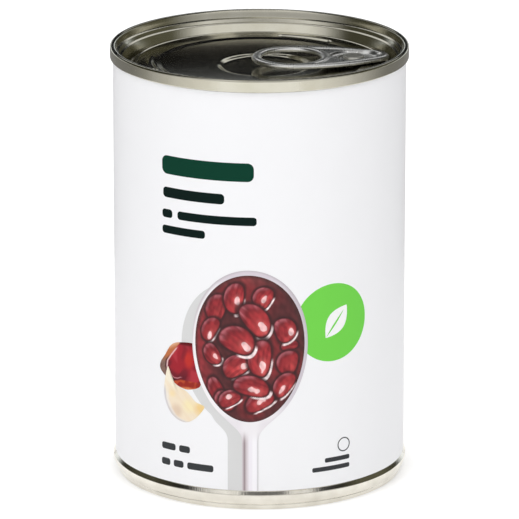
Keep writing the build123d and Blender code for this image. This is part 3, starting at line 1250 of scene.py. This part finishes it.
# Corners that the smooth outlines of the garlic and the dried tomato go through
CLOVE_CORNERS = (
    (-24.9, 35.8),
    (-25.6, 34.1),
    (-26.3, 30.1),
    (-26.1, 27.4),
    (-25.1, 25.0),
    (-23.7, 23.3),
    (-21.5, 22.1),
    (-19.1, 22.0),
    (-16.8, 23.3),
    (-14.8, 25.6),
    (-14.4, 26.9),
    (-16.6, 27.7),
    (-18.4, 29.4),
    (-19.6, 30.3),
    (-21.3, 30.9),
    (-22.8, 31.7),
    (-23.9, 33.1),
)
TOMATO_CORNERS = (
    (-25.7, 33.1),
    (-27.5, 34.8),
    (-27.4, 36.6),
    (-25.9, 38.8),
    (-24.4, 41.2),
    (-22.9, 42.4),
    (-20.9, 42.9),
    (-17.6, 43.1),
    (-14.8, 42.0),
    (-14.4, 36.5),
    (-15.2, 32.6),
    (-16.2, 31.4),
    (-18.7, 30.7),
    (-20.4, 30.8),
    (-22.2, 31.4),
    (-23.8, 32.4),
)

# Spoon shadow: how far it lies to the spoon's left, how much it outgrows the
# bowl and how far its top is lowered
SHADOW_SHIFT = -3.7
SHADOW_GROW = 0.3
SHADOW_DROP = 1.2


def printed(name, patches, material):
    """A piece of ink on the label."""
    piece(name, patches, material)


class CAN_OT_print(bpy.types.Operator):
    """Prints the label: plain bars where words would stand, a disc, a spoonful of
    beans, a dried tomato piece and a garlic clove"""

    bl_idname = "can.print"
    bl_label = "Label print"

    def execute(self, context):
        colours = context.scene.can_print
        deep = [255 * c for c in colours.deep_green]
        bright = [255 * c for c in colours.bright_green]

        # Bars and the empty ring
        deep_ink = ink_material("deep green ink", deep, 0.05, gloss=0.04)
        printed("title_bar", [ink(bar(*TITLE), 1, 18, 18)], deep_ink)
        black_ink = ink_material("black green ink", (13, 30, 27), 0.05, gloss=0.04)
        printed("subtitle_bars", [ink(bar(*line), 1, 16, 16) for line in SUBTITLES], black_ink)
        small = [ink(bar(*line), 1, 8, 8) for line in SMALL_BARS]
        small.append(ring_ink((22.8, 15.5), radius=1.75, width=0.3, layer=1))
        printed("small_bars", small, ink_material("grey ink", (62, 64, 66), 0.05, gloss=0.04))

        # Disc with its leaf
        disc = egg((19.4, 48.4), (10.3, 10.2), 0, 128)
        green = ink_material("bright green ink", bright, 0.04)
        printed("green_disc", [ink(disc, 1, 16, 12)], green)
        white = ink_material("white ink", (246, 246, 246), 0.02)
        printed("disc_leaf", [ink(leaf((20.4, 48.5), 10.0, 5.4, 52), 2, 8, 6)], white)
        printed("leaf_vein", [ink(leaf((20.0, 48.0), 8.4, 0.5, 52), 3, 4, 4)], green)

        # Picture, from its back to its front
        up, left, right = spoon_edges(SHADOW_GROW, SHADOW_DROP)
        shadow = strip(up, left + SHADOW_SHIFT, right + SHADOW_SHIFT, 2)
        printed("spoon_shadow", [shadow], ink_material("shadow grey ink", (217, 217, 217), 0.06))
        picture = ink_material("picture ink", None, 0.02)
        clove = through(CLOVE_CORNERS, 10)
        printed("garlic", [ink(clove, 4, 30, 8, garlic_clove)], picture)
        flesh = through(TOMATO_CORNERS, 12)
        printed("tomato_piece", [ink(flesh, 3, 40, 8, dried_tomato)], picture)
        spoon = strip(*spoon_edges(SPOON_RIM), 5, 72, 12, paint=spoon_paint)
        printed("spoon", [spoon], picture)
        oval = egg(BOWL, BOWL_HALF, BOWL_FLARE, 480)
        sauce = ink_material("sauce ink", None, 0.02, low=0.3, high=0.4)
        printed("spoonful", [ink(oval, 6, 104, 12, beans_in_sauce, BOWL)], sauce)
        return {"FINISHED"}


# ------------------------------------------------------------------ studio

# In metres: the dome's radius and the height of its foot, half the floor's side,
# the glowing floor sheet's height over the floor, and where the lamps point
ROOM_REACH = 2.6
DOME_FOOT = 0.1
FLOOR_REACH = 6.0
GLOW_SHEET_LIFT = 0.0015
LAMP_TARGET = (0, 0, 0.05)

# Camera: its place in metres, how far it looks down in degrees, its lens in mm
CAMERA_PLACE = (0.0, -1.3597, 0.4514)
CAMERA_DOWN = 16.236
CAMERA_LENS = 381.4


def seen(tree, **settings):
    """1 for a ray that the camera sees straight, mirrored or through glass, else 0."""
    path = node(tree, "ShaderNodeLightPath").outputs
    straight = maths(tree, "ADD", path["Is Camera Ray"], path["Is Glossy Ray"])
    return maths(tree, "ADD", straight, path["Is Transmission Ray"], **settings)


def white_floor(floor_lift):
    """White paper that keeps the can's shadow."""
    material, tree, shader = blank_material("white floor")
    shader.inputs["Roughness"].default_value = 1.0
    shader.inputs["Specular IOR Level"].default_value = 0.0
    shader.inputs["Base Color"].default_value = (0.86, 0.86, 0.86, 1)
    shader.inputs["Emission Color"].default_value = (1, 1, 1, 1)
    lift = maths(tree, "MULTIPLY", seen(tree), floor_lift)
    tree.links.new(lift, shader.inputs["Emission Strength"])
    mesh = bpy.data.meshes.new("floor")
    sides = ((-1, -1), (1, -1), (1, 1), (-1, 1))
    corners = [(x * FLOOR_REACH, y * FLOOR_REACH, 0) for x, y in sides]
    mesh.from_pydata(corners, [], [(0, 1, 2, 3)])
    mesh.materials.append(material)
    floor = placed("floor", mesh)


def white_room(room_light):
    """White to the camera and to mirrored light, and dimmer as a lamp."""
    world = bpy.data.worlds.new("white room")
    bpy.context.scene.world = world
    world.use_nodes = True
    tree = world.node_tree
    back = tree.nodes["Background"]
    strength = ramp(tree, seen(tree, use_clamp=True), 0.0, 1.0, room_light, 1.0)
    tree.links.new(strength, back.inputs["Strength"])
    back.inputs["Color"].default_value = (1, 1, 1, 1)


def lamp(name, place, width, height, power):
    """A rectangular lamp at a place, facing the can, in metres and watts."""
    data = bpy.data.lights.new(name, "AREA")
    data.shape = "RECTANGLE"
    data.size, data.size_y = width, height
    data.energy = power
    made = placed(name, data)
    made.visible_glossy = False
    made.location = place
    way = Vector(LAMP_TARGET) - Vector(place)
    made.rotation_euler = way.to_track_quat("-Z", "Y").to_euler()


def card(name, points, shade):
    """A glowing card in the room that only mirrored light meets, no lamp but a painted
    reflection: it glows with a shade at each point of its grid, from 0 for black to 1 for white."""
    material = bpy.data.materials.new(name)
    material.use_nodes = True
    tree = material.node_tree
    tree.nodes.clear()
    tone = node(tree, "ShaderNodeAttribute", attribute_name="shade")
    glow = node(tree, "ShaderNodeEmission", {"Color": tone.outputs["Color"], "Strength": 1.0})
    node(tree, "ShaderNodeOutputMaterial", {"Surface": glow.outputs[0]})
    rows, columns = points.shape[:2]
    index = np.arange(rows * columns).reshape(rows, columns)
    quads = np.stack([index[:-1, :-1], index[1:, :-1], index[1:, 1:], index[:-1, 1:]], axis=-1)
    mesh = bpy.data.meshes.new(name)
    mesh.from_pydata(points.reshape(-1, 3), [], quads.reshape(-1, 4))
    painted(mesh, "shade", np.concatenate([shade, np.ones(shade.shape[:2] + (1,))], axis=-1))
    mesh.materials.append(material)
    made = placed(name, mesh)
    made.visible_camera = False
    made.visible_diffuse = False
    made.visible_shadow = False


def room_tone(turn, rise):
    """Glow of the dome card, a painted reflection that only the metal mirrors, by the
    turn from the front, positive to the right, and the rise over the horizon, in
    degrees: a broad pale window low in front with three skylights over it, olive
    dimness at the sides (dimmer on the left), near black behind over a bright
    horizon, an arch of light standing behind and a soft light overhead."""
    aside = np.abs(turn)
    front = 1 - ease(aside, 42, 86)
    window = 0.55 + 0.5 * ease(rise, 9, 19)
    window = 0.16 + (window - 0.16) * (1 - ease(rise, 33, 41))
    near_sky = 0.85 * (1 - ease(aside, 30, 45)) * ease(rise, 43, 47) * (1 - ease(rise, 51, 54))
    left_sky = ease(turn, -72, -64) * (1 - ease(turn, -24, -16))
    right_sky = ease(turn, 27, 34) * (1 - ease(turn, 56, 63))
    far_sky = 0.9 * np.maximum(left_sky, right_sky) * ease(rise, 46, 52) * (1 - ease(rise, 66, 70))
    side = 0.12 * (1 - ease(rise, 32, 46)) * (1 - ease(aside, 110, 150)) * (1 - 0.4 * (turn < 0))
    behind = ease(aside, 100, 150) * (0.004 + 1.1 * (1 - ease(rise, 3, 12.5)))
    from_back = 180 - aside
    near = 1 - ease(from_back, 25, 30)
    posts = ease(from_back, 10, 13) * near * ease(rise, 22, 27) * (1 - ease(rise, 60, 66))
    beam = 0.75 * near * ease(rise, 57, 60) * (1 - ease(rise, 63, 66))
    arch = 0.9 * np.maximum(posts, beam)
    dim_right = ease(turn, 40, 80) * (1 - ease(turn, 150, 170))
    overhead = 0.8 * ease(rise, 66, 76) * (1 - 0.55 * dim_right)
    white = front * window + np.maximum(near_sky, far_sky) + arch + overhead
    olive = ((1 - front) * side)[..., None] * np.array([1.0, 0.97, 0.66])
    cool = behind[..., None] * np.array([0.95, 1.0, 1.03])
    return white[..., None] + olive + cool + 0.003


def room_cards():
    """Glowing cards, painted reflections that only the metal mirrors: a dome round
    the room, a quarter circle turned about the can's axis, and a glowing sheet on the
    floor behind and beside the can, which dims from 30 to 120 degrees round from the front."""
    turn = np.radians(np.linspace(-180, 180, 289))[:, None]
    rise = np.radians(np.linspace(0, 90, 91))[None]
    dome = about_axis(
        ROOM_REACH * np.cos(rise), turn - pi / 2, ROOM_REACH * np.sin(rise) + DOME_FOOT
    )
    # Painted reflections: the dome glows with the room's tone, and only the metal mirrors it
    card("dome card", dome, room_tone(np.degrees(turn) + 0 * rise, np.degrees(rise) + 0 * turn))
    turn = np.radians(np.linspace(30, 330, 101))[:, None]
    out = np.linspace(0.2, 2.5, 12)[None]
    # Painted reflection: a glowing sheet on the floor, seen only in the metal, that dims round
    # towards the back
    glow_sheet = about_axis(out, turn - pi / 2, GLOW_SHEET_LIFT)
    aside = np.degrees(np.minimum(turn, 2 * pi - turn)) + 0 * out
    dim = (1.13 - 0.87 * ease(aside, 30, 120))[..., None]
    card("floor glow sheet", glow_sheet, dim * np.array([1.0, 0.99, 0.97]))


def camera():
    """A long lens, far off, that looks down on the can a little."""
    data = bpy.data.cameras.new("camera")
    data.sensor_width = 36.0
    data.lens = CAMERA_LENS
    data.clip_start = 0.05
    data.clip_end = 30.0
    eye = placed("camera", data)
    eye.location = CAMERA_PLACE
    eye.rotation_euler = (radians(90 - CAMERA_DOWN), 0, 0)
    bpy.context.scene.camera = eye


class CAN_OT_studio(bpy.types.Operator):
    """Builds the floor, the lamps, the cards that the metal mirrors and the camera"""

    bl_idname = "can.studio"
    bl_label = "Studio"

    def execute(self, context):
        stage = context.scene.can_studio
        context.scene.view_settings.view_transform = "Standard"
        white_floor(stage.floor_lift)
        white_room(stage.room_light)
        for name, place, width, height, watts in (
            ("left lamp", (-0.55, -0.62, 1.35), 0.5, 0.5, 5.6),
            ("right lamp", (0.5, -0.6, 1.35), 0.36, 0.5, 4.2),
            ("front lamp", (-0.35, -1.5, 0.75), 1.5, 0.8, 9),
            ("back lamp", (0.0, 0.42, 1.0), 0.9, 0.35, 2),
        ):
            lamp(name, place, width, height, watts * stage.lamp_power)
        room_cards()
        camera()
        return {"FINISHED"}


class CAN_PT_panel(bpy.types.Panel):
    """Lists the can's sizes, inks and light, its pieces and the studio"""

    bl_idname = "CAN_PT_panel"
    bl_label = "Can"
    bl_space_type = "VIEW_3D"
    bl_region_type = "UI"
    bl_category = "Can"

    def draw(self, context):
        for group, kind in GROUPS.items():
            for key in kind.__annotations__:
                self.layout.prop(getattr(context.scene, group), key)
        for step in STEPS:
            self.layout.operator(step.bl_idname)


GROUPS = {"can_sizes": CanSizes, "can_print": PrintColours, "can_studio": StudioLight}
STEPS = (CAN_OT_studio, CAN_OT_body, CAN_OT_end, CAN_OT_ring_pull, CAN_OT_label, CAN_OT_print)
CLASSES = (*GROUPS.values(), *STEPS, CAN_PT_panel)


def register():
    for kind in CLASSES:
        bpy.utils.register_class(kind)
    for group, kind in GROUPS.items():
        setattr(bpy.types.Scene, group, bpy.props.PointerProperty(type=kind))


def unregister():
    for group in GROUPS:
        delattr(bpy.types.Scene, group)
    for kind in reversed(CLASSES):
        bpy.utils.unregister_class(kind)


def main():
    register()
    for step in STEPS:
        family, action = step.bl_idname.split(".")
        getattr(getattr(bpy.ops, family), action)()


if __name__ == "__main__":
    main()
